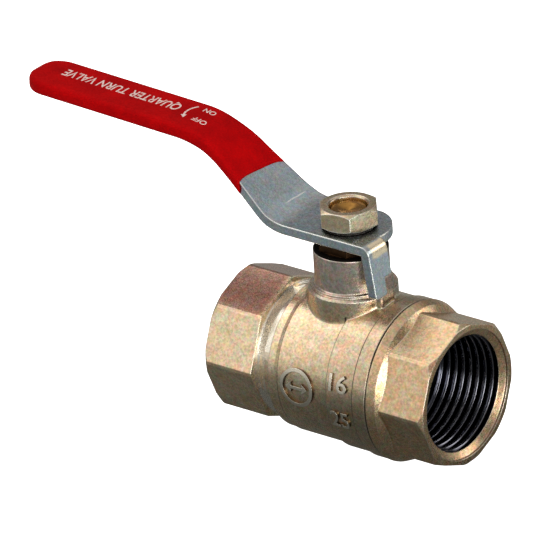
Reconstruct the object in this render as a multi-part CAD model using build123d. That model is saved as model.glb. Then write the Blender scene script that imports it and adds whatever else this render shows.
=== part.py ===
from build123d import *
from math import cos, radians, sin, tan
import os

# Two-piece brass ball valve, size G1 (DN 25), drawn open.
# Frame: millimetres, origin where the pipe axis crosses the stem axis, +X towards the end cap
# (outlet), +Z up the stem. The lever points along -X when open and swings to +Y to close.

# ---- Small sizes used all over ----
EDGE_BREAK = 0.5
OVERLAP = 0.01
CUT_OVERLAP = 1.0
CLEAR = 80.0

# ---- Pipe thread G1 (ISO 228), drawn as ring grooves ----
INLET_MINOR_R = 15.145
OUTLET_MINOR_R = 15.345
THREAD_MAJOR_R = 16.62
THREAD_PITCH = 2.309
INLET_THREAD_TURNS = 6
OUTLET_THREAD_TURNS = 8
FIRST_TURN_DEPTH = 2.43
FLANK_ANGLE = 27.5
MOUTH_R = 17.3
MOUTH_DEPTH = 0.7
MOUTH_CONE_SLOPE = 0.5
INLET_SOCKET_DEPTH = 15.4
OUTLET_SOCKET_DEPTH = 19.9

# ---- Pipe ends: octagons for a spanner, one corner up ----
ACROSS_FLATS = 37.0
CORNER_R = 19.85
END_CORNER_R = 18.9
END_CHAMFER = 1.1
INLET_X = -35.1
INLET_OCTAGON_END_X = -19.6
OUTLET_X = 35.1
OUTLET_OCTAGON_START_X = 21.5

# ---- Body barrel ----
WAIST_R = 17.9
WAIST_X = -18.2
SHOULDER_R = 19.0
SHOULDER_X = -15.6
BARREL_R = 20.25
BARREL_X = -10.7
SECOND_R = 20.85
SECOND_X = 5.1
THIRD_R = 21.3
THIRD_X = 13.8
BODY_END_X = 18.3
SEAM_CHAMFER = 0.35
STEP_SLOPE = 0.3
POCKET_X = -13.9
POCKET_R = 16.2
POCKET_SLOPE_X = -17.9
POCKET_RIM_R = 18.4
POCKET_END_SLOPE = 1.5
POCKET_APEX = 8.0
UPPER_POCKET = (38.0, 35.0)
LOWER_POCKET = (132.5, 27.5)

# ---- Ball, seats and flow passage ----
BALL_R = 15.5
PORT_R = 10.0
SEAT_INNER_R = 10.2
SEAT_OUTER_R = 13.0
SEAT_END_X = 13.4
SEAT_START_X = 8.9
BALL_TO_SEAT = 0.03
CAVITY_R = 16.3
SLOT_HALF_WIDTH = 2.5
SLOT_FLOOR_Z = 12.3

# ---- End cap ----
SPIGOT_R = 19.0
SPIGOT_FIT = 0.05
SPIGOT_START_X = SEAT_START_X
SPIGOT_END_GAP = 0.2
CAP_FLANGE_R = 21.4
CAP_SLOPE_START_X = 18.9
CAP_SHOULDER_X = 20.9
CAP_SHOULDER_R = 20.5
CAP_CONE_END_X = 22.4
CAP_CONE_END_R = 18.3
RING_GROOVE_R = 17.6
RING_GROOVE_X = 10.6
RING_GROOVE_WIDTH = 1.8
BODY_RING_SECTION_R = 0.68

# ---- Neck and stem seals ----
COLLAR_R = 11.65
COLLAR_TOP_Z = 23.4
NECK_FOOT_R = 10.5
NECK_FOOT_Z = 24.35
NECK_FOOT_CHAMFER = 0.3
NECK_R = 9.8
NECK_TOP_Z = 34.0
NECK_ROOT_Z = 10.0
COLLAR_ROOT_ROUND = 2.0
COLLAR_ROOT_DRUM_R = BARREL_R - 0.3
COLLAR_ROOT_DRUM_END_X = 14.0
STEM_R = 6.0
STEM_BORE_R = 6.05
STEM_FLANGE_R = 7.5
STEM_POCKET_R = 7.9
STEM_FLANGE_START_Z = 17.25
STEM_FLANGE_END_Z = 19.2
STEM_POCKET_TOP_Z = 20.0
STEM_BORE_TOP_Z = 23.0
PACKING_R = 8.0
PACKING_HEIGHT = 2.0
TANG_HALF_WIDTH = 2.42
TANG_HALF_LENGTH = 6.5
TANG_START_Z = 12.55
RING_ON_STEM_SECTION_R = 0.65
RING_ON_STEM_SIDE_GAP = 0.15
RING_ON_STEM_Z = 21.5
RING_ON_STEM_GROOVE_R = 4.7
GLAND_START_Z = STEM_BORE_TOP_Z + 2 * PACKING_HEIGHT
GLAND_TOP_Z = 36.3
GLAND_ACROSS_FLATS = 15.0
HEX_CORNER_ANGLE = 30.0
HEX_CORNER_INSET = 0.1
SEAL_GAP = 0.03

# ---- Stop lug on the neck: it meets the lever's front tab when open, its rear ear when closed ----
LUG_NEAR_Y = -4.5
LUG_FAR_Y = 1.7
LUG_FRONT_X = 12.5
LUG_TOP_Z = 29.5
LUG_ROOT_Z = 15.0
LUG_ROUND = 1.2
STOP_GAP = 0.1

# ---- Lever: one pressed steel strip ----
LEVER_BOTTOM_Z = 37.0
LEVER_THICKNESS = 2.5
LEVER_HALF_WIDTH = 9.2
LEVER_FAR_WIDTH = 10.7
GRIP_HALF_WIDTH = 6.6
LOW_BEND = (-19.4, LEVER_BOTTOM_Z)
HIGH_BEND = (-41.4, 55.45)
GRIP_RISE = 2.1
LOW_BEND_R = 12.5
HIGH_BEND_R = 25.0
TIP_X = -100.2
TIP_OVERRUN = 5.0
TIP_CORNER_R = 5.6
TAPER_START_X = -20.0
TAPER_END_X = -41.0
TAPER_ROUND = 30.0
STEM_END_R = 11.0
STOP_BOTTOM_Z = 25.4
TAB_FACE_X = 10.5
TAB_BEND_R = 2.6
TAB_LEAN = 8.5
TAB_SHOULDER_Y = -1.6
TAB_STEP_GAP = 0.5
TAB_ROOT = 3.0
EAR_WIDTH = 7.0
EAR_FACE_Y = 10.0
FOOT_ROUND = 0.8
SQUARE_HALF_FLATS = 5.05
LEVER_HOLE_GAP = 0.05

# ---- Sleeve, washer and nut on top ----
SLEEVE_SKIN = 0.9
SLEEVE_MOUTH_SKIN = 0.5
SLEEVE_START_X = -27.8
SLEEVE_FULL_X = -35.0
WASHER_R = 6.4
WASHER_HOLE_R = 5.2
WASHER_HEIGHT = 0.9
WASHER_SPLIT = 1.0
WASHER_SPLIT_ANGLE = 150.0
NUT_ACROSS_FLATS = 14.5
NUT_HEIGHT = 5.1
NUT_TURN = 9.4
NUT_MOUTH_R = 5.45
STEM_THREAD_R = 4.95
NUT_THREAD_GAP = 0.05
STEM_TOP_Z = 44.3
STEM_DISH_R = 3.3
STEM_DISH_DEPTH = 0.8

LEVER_TOP_Z = LEVER_BOTTOM_Z + LEVER_THICKNESS
NUT_BOTTOM_Z = LEVER_TOP_Z + WASHER_HEIGHT
NUT_TOP_Z = NUT_BOTTOM_Z + NUT_HEIGHT


# ---- Shared shapes ----
def turned_x(points):
    """A solid turned about the pipe axis from (x, radius) points."""
    outline = make_face(Polyline(*points, close=True))
    return revolve(outline, Axis.X)


def turned_z(points):
    """A solid turned about the stem axis from (radius, z) points."""
    outline = make_face(Polyline(*[(r, 0, z) for r, z in points], close=True))
    return revolve(outline, Axis.Z)


def tube_z(inner_r, outer_r, z0, z1):
    return turned_z([(inner_r, z0), (outer_r, z0), (outer_r, z1), (inner_r, z1)])


def block(x0, x1, y0, y1, z0, z1):
    corner = (Align.MIN, Align.MIN, Align.MIN)
    return Pos(x0, y0, z0) * Box(x1 - x0, y1 - y0, z1 - z0, align=corner)


def ring_z(centre_r, section_r, z):
    return Pos(0, 0, z) * Torus(centre_r, section_r)


def hexagon_z(across_flats, z0, z1, turn, chamfers):
    """An upright hexagon whose chosen ends ("top", "bottom") have 30-degree turned corners."""
    prism = extrude(RegularPolygon(across_flats / 2, 6, major_radius=False), z1 - z0)
    prism = Pos(0, 0, z0) * Rot(0, 0, turn) * prism
    flat_r = across_flats / 2 - HEX_CORNER_INSET
    corner_r = across_flats / 2 / cos(radians(HEX_CORNER_ANGLE)) + HEX_CORNER_INSET
    drop = (corner_r - flat_r) * tan(radians(HEX_CORNER_ANGLE))
    top = [(corner_r, z1 - drop), (flat_r, z1)] if "top" in chamfers else [(corner_r, z1)]
    low = [(flat_r, z0), (corner_r, z0 + drop)] if "bottom" in chamfers else [(corner_r, z0)]
    return prism & turned_z([(0, z0), *low, *top, (0, z1)])


def octagon_x(end_x, root_x):
    """A pipe end: an octagon with a corner up, its corners turned round at the open end."""
    away = 1 if root_x > end_x else -1
    outline = Plane.YZ * RegularPolygon(ACROSS_FLATS / 2, 8, major_radius=False)
    prism = Pos(min(end_x, root_x), 0, 0) * extrude(outline, abs(root_x - end_x))
    chamfer_x = end_x + away * END_CHAMFER
    limit = [(end_x, 0), (end_x, END_CORNER_R), (chamfer_x, CORNER_R), (root_x, CORNER_R), (root_x, 0)]
    return prism & turned_x(limit)


def pipe_socket(mouth_x, inward, minor_r, socket_depth, turns):
    """The space cut out of a pipe end: counterbore, countersink, minor bore and thread grooves."""
    def x_at(depth):
        return mouth_x + inward * depth

    cone_end = MOUTH_DEPTH + (MOUTH_R - minor_r) * MOUTH_CONE_SLOPE
    space = turned_x([
        (x_at(0), 0), (x_at(0), MOUTH_R), (x_at(MOUTH_DEPTH), MOUTH_R), (x_at(cone_end), minor_r),
        (x_at(socket_depth), minor_r), (x_at(socket_depth), 0),
    ])
    root_flat = THREAD_PITCH / 12
    half_mouth = root_flat + (THREAD_MAJOR_R - minor_r) * tan(radians(FLANK_ANGLE))
    for turn in range(turns):
        middle = x_at(FIRST_TURN_DEPTH + turn * THREAD_PITCH)
        space += turned_x([
            (middle - half_mouth, minor_r - OVERLAP), (middle - root_flat, THREAD_MAJOR_R),
            (middle + root_flat, THREAD_MAJOR_R), (middle + half_mouth, minor_r - OVERLAP),
            (middle + half_mouth, PORT_R), (middle - half_mouth, PORT_R),
        ])
    return space


# ---- Body ----
def body_shell():
    barrel = turned_x([
        (INLET_OCTAGON_END_X - CUT_OVERLAP, 0), (INLET_OCTAGON_END_X - CUT_OVERLAP, WAIST_R),
        (WAIST_X, WAIST_R), (SHOULDER_X, SHOULDER_R), (BARREL_X, BARREL_R), (SECOND_X, BARREL_R),
        (SECOND_X + STEP_SLOPE, SECOND_R), (THIRD_X, SECOND_R), (THIRD_X + STEP_SLOPE, THIRD_R),
        (BODY_END_X - SEAM_CHAMFER, THIRD_R), (BODY_END_X, THIRD_R - SEAM_CHAMFER), (BODY_END_X, 0),
    ])
    return barrel + octagon_x(INLET_X, INLET_OCTAGON_END_X)


def waist_pockets():
    """Four recesses cast into the waist, leaving ribs at the top, bottom and both sides."""
    end_x = POCKET_X + POCKET_END_SLOPE
    ring = turned_x([
        (POCKET_SLOPE_X, POCKET_R), (INLET_OCTAGON_END_X, POCKET_RIM_R), (INLET_OCTAGON_END_X, CLEAR),
        (end_x, CLEAR), (POCKET_X, POCKET_R),
    ])

    def pocket(centre, half_span):
        """One recess about an angle from the top; its side walls lean outwards to draw from the mould."""
        edge_y = WAIST_R * sin(radians(half_span))
        edge_z = WAIST_R * cos(radians(half_span))
        spread = edge_y / (edge_z - POCKET_APEX) * (CLEAR - POCKET_APEX)
        outline = make_face(Polyline((0, POCKET_APEX), (spread, CLEAR), (-spread, CLEAR), close=True))
        wedge = extrude(Plane.YZ * outline, end_x - INLET_OCTAGON_END_X)
        return Rot(centre, 0, 0) * (ring & Pos(INLET_OCTAGON_END_X, 0, 0) * wedge)

    pockets = []
    for centre, half_span in (UPPER_POCKET, LOWER_POCKET):
        pockets += [pocket(centre, half_span), pocket(-centre, half_span)]
    return pockets


def neck():
    """The stem's tower on its collar, rounded where the collar grows out of the barrel."""
    tower = turned_z([
        (0, NECK_ROOT_Z), (COLLAR_R, NECK_ROOT_Z), (COLLAR_R, COLLAR_TOP_Z - EDGE_BREAK),
        (COLLAR_R - EDGE_BREAK, COLLAR_TOP_Z), (NECK_FOOT_R, COLLAR_TOP_Z),
        (NECK_FOOT_R, NECK_FOOT_Z - NECK_FOOT_CHAMFER), (NECK_R, NECK_FOOT_Z),
        (NECK_R, NECK_TOP_Z - EDGE_BREAK), (NECK_R - EDGE_BREAK, NECK_TOP_Z), (0, NECK_TOP_Z),
    ])
    drum = turned_x([
        (-COLLAR_ROOT_DRUM_END_X, 0), (-COLLAR_ROOT_DRUM_END_X, COLLAR_ROOT_DRUM_R),
        (COLLAR_ROOT_DRUM_END_X, COLLAR_ROOT_DRUM_R), (COLLAR_ROOT_DRUM_END_X, 0),
    ])
    rooted = tower + drum
    curved = rooted.edges().filter_by(GeomType.BSPLINE)
    seam = [edge for edge in curved if edge.center().Z > NECK_ROOT_Z]
    return fillet(seam, COLLAR_ROOT_ROUND)


def stop_lug():
    """The upright stop cast on the front of the collar, its front edges and its top rounded."""
    lug = block(STEM_BORE_R + CUT_OVERLAP, LUG_FRONT_X, LUG_NEAR_Y, LUG_FAR_Y, LUG_ROOT_Z, LUG_TOP_Z)
    lug = fillet(lug.edges().filter_by(Axis.Z).group_by(Axis.X)[-1], LUG_ROUND)
    top_sides = lug.faces().sort_by(Axis.Z)[-1].edges().filter_by(Axis.X)
    return fillet(top_sides.sort_by(Axis.Y)[-1], LUG_ROUND)


def make_body():
    outside = body_shell()
    for pocket in waist_pockets():
        outside -= pocket
    outside += neck() + stop_lug()
    passage_x = INLET_X + INLET_SOCKET_DEPTH - CUT_OVERLAP
    counterbore_x = SPIGOT_START_X - SPIGOT_END_GAP
    inside = turned_x([
        (passage_x, 0), (passage_x, PORT_R), (-SEAT_END_X, PORT_R),
        (-SEAT_END_X, SEAT_OUTER_R + SEAL_GAP), (-SEAT_START_X, SEAT_OUTER_R + SEAL_GAP),
        (-SEAT_START_X, CAVITY_R), (counterbore_x, CAVITY_R), (counterbore_x, SPIGOT_R + SPIGOT_FIT),
        (BODY_END_X, SPIGOT_R + SPIGOT_FIT), (BODY_END_X, 0),
    ])
    stem_hole = turned_z([
        (0, NECK_ROOT_Z), (STEM_POCKET_R, NECK_ROOT_Z), (STEM_POCKET_R, STEM_POCKET_TOP_Z),
        (STEM_BORE_R, STEM_POCKET_TOP_Z), (STEM_BORE_R, STEM_BORE_TOP_Z),
        (PACKING_R, STEM_BORE_TOP_Z), (PACKING_R, NECK_TOP_Z), (0, NECK_TOP_Z),
    ])
    inlet_socket = pipe_socket(INLET_X, 1, INLET_MINOR_R, INLET_SOCKET_DEPTH, INLET_THREAD_TURNS)
    return outside - inside - stem_hole - inlet_socket


# ---- End cap and its seal ----
def make_end_cap():
    turned = turned_x([
        (SPIGOT_START_X, 0), (SPIGOT_START_X, SPIGOT_R), (RING_GROOVE_X, SPIGOT_R),
        (RING_GROOVE_X, RING_GROOVE_R), (RING_GROOVE_X + RING_GROOVE_WIDTH, RING_GROOVE_R),
        (RING_GROOVE_X + RING_GROOVE_WIDTH, SPIGOT_R), (BODY_END_X, SPIGOT_R),
        (BODY_END_X, CAP_FLANGE_R - SEAM_CHAMFER), (BODY_END_X + SEAM_CHAMFER, CAP_FLANGE_R),
        (CAP_SLOPE_START_X, CAP_FLANGE_R), (CAP_SHOULDER_X, CAP_SHOULDER_R),
        (CAP_CONE_END_X, CAP_CONE_END_R), (CAP_CONE_END_X, 0),
    ])
    passage_x = OUTLET_X - OUTLET_SOCKET_DEPTH + CUT_OVERLAP
    passage = turned_x([
        (SPIGOT_START_X, 0), (SPIGOT_START_X, SEAT_OUTER_R + SEAL_GAP),
        (SEAT_END_X, SEAT_OUTER_R + SEAL_GAP), (SEAT_END_X, PORT_R), (passage_x, PORT_R), (passage_x, 0),
    ])
    outlet_socket = pipe_socket(OUTLET_X, -1, OUTLET_MINOR_R, OUTLET_SOCKET_DEPTH, OUTLET_THREAD_TURNS)
    return turned + octagon_x(OUTLET_X, OUTLET_OCTAGON_START_X) - passage - outlet_socket


def make_body_o_ring():
    centre_r = SPIGOT_R + SPIGOT_FIT - SEAL_GAP / 2 - BODY_RING_SECTION_R
    middle = RING_GROOVE_X + RING_GROOVE_WIDTH / 2
    return Pos(middle, 0, 0) * Rot(0, 90, 0) * Torus(centre_r, BODY_RING_SECTION_R)


# ---- Ball and seats ----
def make_ball():
    """A sphere with its port bored through and a slot across its top for the stem's tang."""
    above_port = Pos(0, PORT_R) * Rectangle(3 * BALL_R, BALL_R, align=(Align.CENTER, Align.MIN))
    section = Circle(BALL_R) & above_port
    slot = block(-SLOT_HALF_WIDTH, SLOT_HALF_WIDTH, -CLEAR, CLEAR, SLOT_FLOOR_Z, CLEAR)
    return revolve(section, Axis.X) - slot


def make_seat():
    """The outlet seat ring; the inlet seat is the same ring turned round."""
    middle = Pos((SEAT_START_X + SEAT_END_X) / 2, (SEAT_INNER_R + SEAT_OUTER_R) / 2)
    section = middle * Rectangle(SEAT_END_X - SEAT_START_X, SEAT_OUTER_R - SEAT_INNER_R)
    return revolve(section - Circle(BALL_R + BALL_TO_SEAT), Axis.X)


# ---- Stem and its seals ----
def make_stem():
    shaft = turned_z([
        (0, STEM_FLANGE_START_Z), (STEM_FLANGE_R, STEM_FLANGE_START_Z), (STEM_FLANGE_R, STEM_FLANGE_END_Z),
        (STEM_R, STEM_FLANGE_END_Z), (STEM_R, LEVER_TOP_Z), (STEM_THREAD_R, LEVER_TOP_Z),
        (STEM_THREAD_R, STEM_TOP_Z - EDGE_BREAK), (STEM_THREAD_R - EDGE_BREAK, STEM_TOP_Z),
        (STEM_DISH_R, STEM_TOP_Z), (0, STEM_TOP_Z - STEM_DISH_DEPTH),
    ])
    tang = block(-TANG_HALF_WIDTH, TANG_HALF_WIDTH, -TANG_HALF_LENGTH, TANG_HALF_LENGTH,
                 TANG_START_Z, STEM_FLANGE_START_Z + OVERLAP)
    groove_low_z = RING_ON_STEM_Z - RING_ON_STEM_SECTION_R - RING_ON_STEM_SIDE_GAP
    groove_high_z = RING_ON_STEM_Z + RING_ON_STEM_SECTION_R + RING_ON_STEM_SIDE_GAP
    groove = tube_z(RING_ON_STEM_GROOVE_R, CLEAR, groove_low_z, groove_high_z)
    far_flat = block(-CLEAR, CLEAR, SQUARE_HALF_FLATS, CLEAR, LEVER_BOTTOM_Z, LEVER_TOP_Z)
    near_flat = block(-CLEAR, CLEAR, -CLEAR, -SQUARE_HALF_FLATS, LEVER_BOTTOM_Z, LEVER_TOP_Z)
    return shaft + tang - groove - far_flat - near_flat


def make_stem_thrust_washer():
    return tube_z(STEM_BORE_R, STEM_POCKET_R - SEAL_GAP, STEM_FLANGE_END_Z + SEAL_GAP, STEM_POCKET_TOP_Z)


def make_stem_o_ring():
    return ring_z(STEM_BORE_R - SEAL_GAP - RING_ON_STEM_SECTION_R, RING_ON_STEM_SECTION_R, RING_ON_STEM_Z)


def make_packing_ring(level):
    start = STEM_BORE_TOP_Z + level * PACKING_HEIGHT
    return tube_z(STEM_BORE_R, PACKING_R - SEAL_GAP, start, start + PACKING_HEIGHT)


def make_gland_nut():
    threaded = tube_z(STEM_BORE_R, PACKING_R - SEAL_GAP, GLAND_START_Z, NECK_TOP_Z)
    head = hexagon_z(GLAND_ACROSS_FLATS, NECK_TOP_Z, GLAND_TOP_Z, 0, ["top"])
    return threaded + (head - tube_z(0, STEM_BORE_R, NECK_TOP_Z, GLAND_TOP_Z))


# ---- Lever and sleeve ----
def offset_points(points, distance):
    """Move an open outline of (x, z) points sideways by a distance, keeping its corners sharp."""
    moved = []
    for i, (x, z) in enumerate(points):
        before = Vector(*points[i]) - Vector(*points[i - 1]) if i else None
        after = Vector(*points[i + 1]) - Vector(*points[i]) if i + 1 < len(points) else None
        normals = [Vector(way.Y, -way.X).normalized() for way in (before, after) if way]
        normal = sum(normals, Vector(0, 0)).normalized()
        reach = distance / normal.dot(normals[0])
        moved.append((x + normal.X * reach, z + normal.Y * reach))
    return moved


def lever_strip(low, high):
    """The bent strip seen from the side, between two heights above the lever's underside."""
    front_x = TAB_FACE_X + LEVER_THICKNESS
    tip_x = TIP_X - TIP_OVERRUN
    tip_z = HIGH_BEND[1] + (HIGH_BEND[0] - tip_x) * tan(radians(GRIP_RISE))
    underside = [(front_x, LEVER_BOTTOM_Z), LOW_BEND, HIGH_BEND, (tip_x, tip_z)]
    lower, upper = offset_points(underside, low), offset_points(underside, high)
    face = make_face(Plane.XZ * Polyline(*lower, *reversed(upper), close=True))

    def bend(face, corner, radius):
        vertex = face.vertices().sort_by_distance((corner[0], 0, corner[1]))[0]
        return fillet(vertex, radius)

    face = bend(face, upper[1], LOW_BEND_R + LEVER_THICKNESS - high)
    face = bend(face, lower[1], LOW_BEND_R + LEVER_THICKNESS - low)
    face = bend(face, lower[2], HIGH_BEND_R + low)
    face = bend(face, upper[2], HIGH_BEND_R + high)
    return extrude(face, CLEAR, both=True)


def lever_plan(grow):
    """The lever's outline seen from above, as a tall block, from its tip to the stem end."""
    near, far, narrow = LEVER_HALF_WIDTH + grow, LEVER_FAR_WIDTH + grow, GRIP_HALF_WIDTH + grow
    blade = make_face(Polyline(
        (TIP_X - grow, -narrow), (TAPER_END_X, -narrow), (TAPER_START_X, -near), (0, -near),
        (0, far), (TAPER_START_X, far), (TAPER_END_X, narrow), (TIP_X - grow, narrow), close=True))
    tip = blade.vertices().group_by(Axis.X)[0]
    blade = fillet(tip, TIP_CORNER_R + grow)
    shoulders = [v for v in blade.vertices() if abs(v.X - TAPER_END_X) < 0.1]
    blade = fillet(shoulders, TAPER_ROUND)
    middle_y = (far - near) / 2
    stem_end = Circle(STEM_END_R) & Pos(0, middle_y) * Rectangle(2 * STEM_END_R, far + near)
    front = Pos(0, -near) * Rectangle(TAB_FACE_X, near + TAB_SHOULDER_Y, align=(Align.MIN, Align.MIN))
    return extrude(blade + stem_end + front, CLEAR)


def front_tab():
    """The stop tab: bent down and leaning forward, its foot narrowed to stand beside the lug."""
    lean = tan(radians(TAB_LEAN))
    reach = (LEVER_BOTTOM_Z - STOP_BOTTOM_Z) * lean
    across = LEVER_THICKNESS / cos(radians(TAB_LEAN))
    outer_corner = (TAB_FACE_X + across - LEVER_THICKNESS * lean, LEVER_TOP_Z)
    side = make_face(Plane.XZ * Polyline(
        (TAB_FACE_X - TAB_ROOT, LEVER_BOTTOM_Z), (TAB_FACE_X, LEVER_BOTTOM_Z),
        (TAB_FACE_X + reach, STOP_BOTTOM_Z), (TAB_FACE_X + reach + across, STOP_BOTTOM_Z),
        outer_corner, (TAB_FACE_X - TAB_ROOT, LEVER_TOP_Z), close=True))
    bend = side.vertices().sort_by_distance((outer_corner[0], 0, outer_corner[1]))[0]
    side = fillet(bend, TAB_BEND_R)
    tab = extrude(side, LEVER_HALF_WIDTH, dir=(0, -1, 0))
    step_z = LUG_TOP_Z + TAB_STEP_GAP
    tab -= block(0, CLEAR, TAB_SHOULDER_Y, CLEAR, STOP_BOTTOM_Z, LEVER_TOP_Z)
    tab -= block(0, CLEAR, LUG_NEAR_Y - STOP_GAP, CLEAR, STOP_BOTTOM_Z, step_z)
    foot = tab.faces().sort_by(Axis.Z)[0].edges().filter_by(Axis.X)
    return fillet(foot, FOOT_ROUND)


def rear_ear():
    """The second stop, bent down from the far edge; it meets the lug when the valve is closed."""
    inner_y, outer_y = EAR_FACE_Y, EAR_FACE_Y + LEVER_THICKNESS
    end_x = -(LUG_FAR_Y + STOP_GAP)
    start_x = end_x - EAR_WIDTH
    ear = block(start_x, end_x, inner_y, outer_y, STOP_BOTTOM_Z, LEVER_TOP_Z)
    ear += block(start_x, end_x, inner_y - TAB_ROOT, outer_y, LEVER_BOTTOM_Z, LEVER_TOP_Z)
    bend = ear.edges().filter_by(Axis.X).sort_by_distance((start_x, outer_y, LEVER_TOP_Z))[0]
    ear = fillet(bend, TAB_BEND_R)
    return fillet(ear.edges().filter_by(Axis.Y).group_by(Axis.Z)[0], FOOT_ROUND)


def make_lever():
    """The lever with its two stops and the double-D hole that fits the stem's flats."""
    across_flats = 2 * (SQUARE_HALF_FLATS + LEVER_HOLE_GAP)
    hole = Cylinder(STEM_R + LEVER_HOLE_GAP, CLEAR) & Box(CLEAR, across_flats, CLEAR)
    blade = lever_strip(0, LEVER_THICKNESS) & lever_plan(0)
    return blade + front_tab() + rear_ear() - hole


def make_lever_grip(lever):
    """A dipped sleeve: a full skin on the grip, thinner on the slope down to its mouth."""
    def coat(skin, start_x, end_x):
        solid = lever_strip(-skin, LEVER_THICKNESS + skin) & lever_plan(skin)
        return solid & block(start_x, end_x, -CLEAR, CLEAR, 0, CLEAR)

    sleeve = coat(SLEEVE_SKIN, TIP_X - TIP_OVERRUN, SLEEVE_FULL_X)
    sleeve += coat(SLEEVE_MOUTH_SKIN, SLEEVE_FULL_X, SLEEVE_START_X)
    return sleeve - lever


# ---- Lock washer and nut ----
def make_lock_washer():
    ring = tube_z(WASHER_HOLE_R, WASHER_R, LEVER_TOP_Z, NUT_BOTTOM_Z)
    split = block(0, CLEAR, -WASHER_SPLIT / 2, WASHER_SPLIT / 2, LEVER_TOP_Z, NUT_BOTTOM_Z)
    return ring - Rot(0, 0, WASHER_SPLIT_ANGLE) * split


def make_lever_nut():
    bore_r = STEM_THREAD_R + NUT_THREAD_GAP
    sink = NUT_MOUTH_R - bore_r
    bore = turned_z([
        (0, NUT_BOTTOM_Z), (NUT_MOUTH_R, NUT_BOTTOM_Z), (bore_r, NUT_BOTTOM_Z + sink),
        (bore_r, NUT_TOP_Z - sink), (NUT_MOUTH_R, NUT_TOP_Z), (0, NUT_TOP_Z),
    ])
    return hexagon_z(NUT_ACROSS_FLATS, NUT_BOTTOM_Z, NUT_TOP_Z, NUT_TURN, ["top", "bottom"]) - bore


lever = make_lever()
nodes = {
    "body": make_body(),
    "end_cap": make_end_cap(),
    "body_o_ring": make_body_o_ring(),
    "ball": make_ball(),
    "seat_inlet": Rot(0, 0, 180) * make_seat(),
    "seat_outlet": make_seat(),
    "stem": make_stem(),
    "stem_thrust_washer": make_stem_thrust_washer(),
    "stem_o_ring": make_stem_o_ring(),
    "packing_ring_lower": make_packing_ring(0),
    "packing_ring_upper": make_packing_ring(1),
    "gland_nut": make_gland_nut(),
    "lever": lever,
    "lever_grip": make_lever_grip(lever),
    "lock_washer": make_lock_washer(),
    "lever_nut": make_lever_nut(),
}

os.makedirs("parts", exist_ok=True)
for name, shape in nodes.items():
    export_step(shape, f"parts/{name}.step")
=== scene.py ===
"""Looks for the ball valve: camera, light, materials, vinyl grip, its print and the cast marks."""

from math import cos, pi, radians, sin, sqrt

import bmesh
import bpy
from mathutils import Matrix, Vector
from mathutils.bvhtree import BVHTree


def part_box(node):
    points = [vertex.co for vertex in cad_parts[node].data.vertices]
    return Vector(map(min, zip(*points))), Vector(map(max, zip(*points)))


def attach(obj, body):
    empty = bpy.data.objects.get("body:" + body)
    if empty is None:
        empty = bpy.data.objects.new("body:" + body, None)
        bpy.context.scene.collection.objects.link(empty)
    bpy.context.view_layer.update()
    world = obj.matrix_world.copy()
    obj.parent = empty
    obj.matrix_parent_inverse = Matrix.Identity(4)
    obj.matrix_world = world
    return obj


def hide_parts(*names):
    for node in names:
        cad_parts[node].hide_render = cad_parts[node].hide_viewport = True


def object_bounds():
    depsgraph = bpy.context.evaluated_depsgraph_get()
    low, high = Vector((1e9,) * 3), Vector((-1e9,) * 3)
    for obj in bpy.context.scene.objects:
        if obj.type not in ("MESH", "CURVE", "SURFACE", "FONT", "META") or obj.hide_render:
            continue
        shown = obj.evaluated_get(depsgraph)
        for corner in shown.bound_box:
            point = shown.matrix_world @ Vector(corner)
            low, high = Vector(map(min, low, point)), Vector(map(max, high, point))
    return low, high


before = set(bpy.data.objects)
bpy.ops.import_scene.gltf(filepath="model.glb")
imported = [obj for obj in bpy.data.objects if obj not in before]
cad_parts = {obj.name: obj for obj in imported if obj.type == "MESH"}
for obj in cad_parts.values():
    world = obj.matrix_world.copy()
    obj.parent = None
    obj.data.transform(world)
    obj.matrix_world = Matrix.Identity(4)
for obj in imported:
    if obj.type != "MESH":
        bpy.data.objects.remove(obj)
cad_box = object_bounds()

MM = 0.001

# ---- Camera: a long lens, from the outlet end and a little above ----
CAMERA_AZIMUTH = 39.4
CAMERA_ELEVATION = 25.6
CAMERA_ROLL = -3.8
CAMERA_DISTANCE = 2.313
CAMERA_TARGET = Vector((-24.1, -5.05, 23.84)) * MM
CAMERA_CLIP_END = 20.0
SENSOR_WIDTH = 36.0
LENS = 608.0

# ---- Grip sleeve ----
GRIP_STATIONS = 70
GRIP_TIP_STATIONS = 14
GRIP_TIP_FIRST = 0.25
GRIP_TIP_PROBE = 8 * MM
GRIP_EDGE_ROUND = 1.5 * MM
GRIP_CORNER_POINTS = 6
GRIP_FLAT_POINTS = 9
GRIP_FIT = 0.02 * MM
TUNNEL_CORNER = 0.05 * MM
MOUTH_LIP_ROUND = 0.25 * MM
MOUTH_SKEW = 0.75 * MM
MOUTH_BOW = 1.2 * MM
MOUTH_REACH = 6 * MM
SKIN_FULL_X = -46 * MM
SKIN_FULL = 0.9 * MM
SKIN_AT_MOUTH = 0.5 * MM
TIP_ROUND = 2.2 * MM
TIP_FLATNESS = 0.45
SLOPE_STEP = 0.3 * MM
CORNER_LIMIT = 0.98
FAR_OUTSIDE = 1.0

# ---- Print on the grip: name, words, middle x and y, length and height ----
PRINT_HEIGHT = 0.05 * MM
PRINT_SINK = 0.02 * MM
GRIP_WORDS = [
    ("grip_words", "QUARTER TURN VALVE", -73.3 * MM, 1.2 * MM, 38.0 * MM, 4.2 * MM),
    ("grip_on", "ON", -46.6 * MM, 3.6 * MM, 3.6 * MM, 1.9 * MM),
    ("grip_off", "OFF", -45.8 * MM, -1.8 * MM, 4.2 * MM, 1.9 * MM),
]
ARC_CENTRE = (-46.5 * MM, 0.9 * MM)
ARC_RADIUS = 5.2 * MM
ARC_WIDTH = 0.5 * MM
ARC_ANGLES = (-38.0, 30.0)
ARC_STEPS = 24
ARROW_HALF_WIDTH = 0.8 * MM
ARROW_LENGTH = 1.7 * MM
ARROW_OVERLAP = 0.2 * MM

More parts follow.
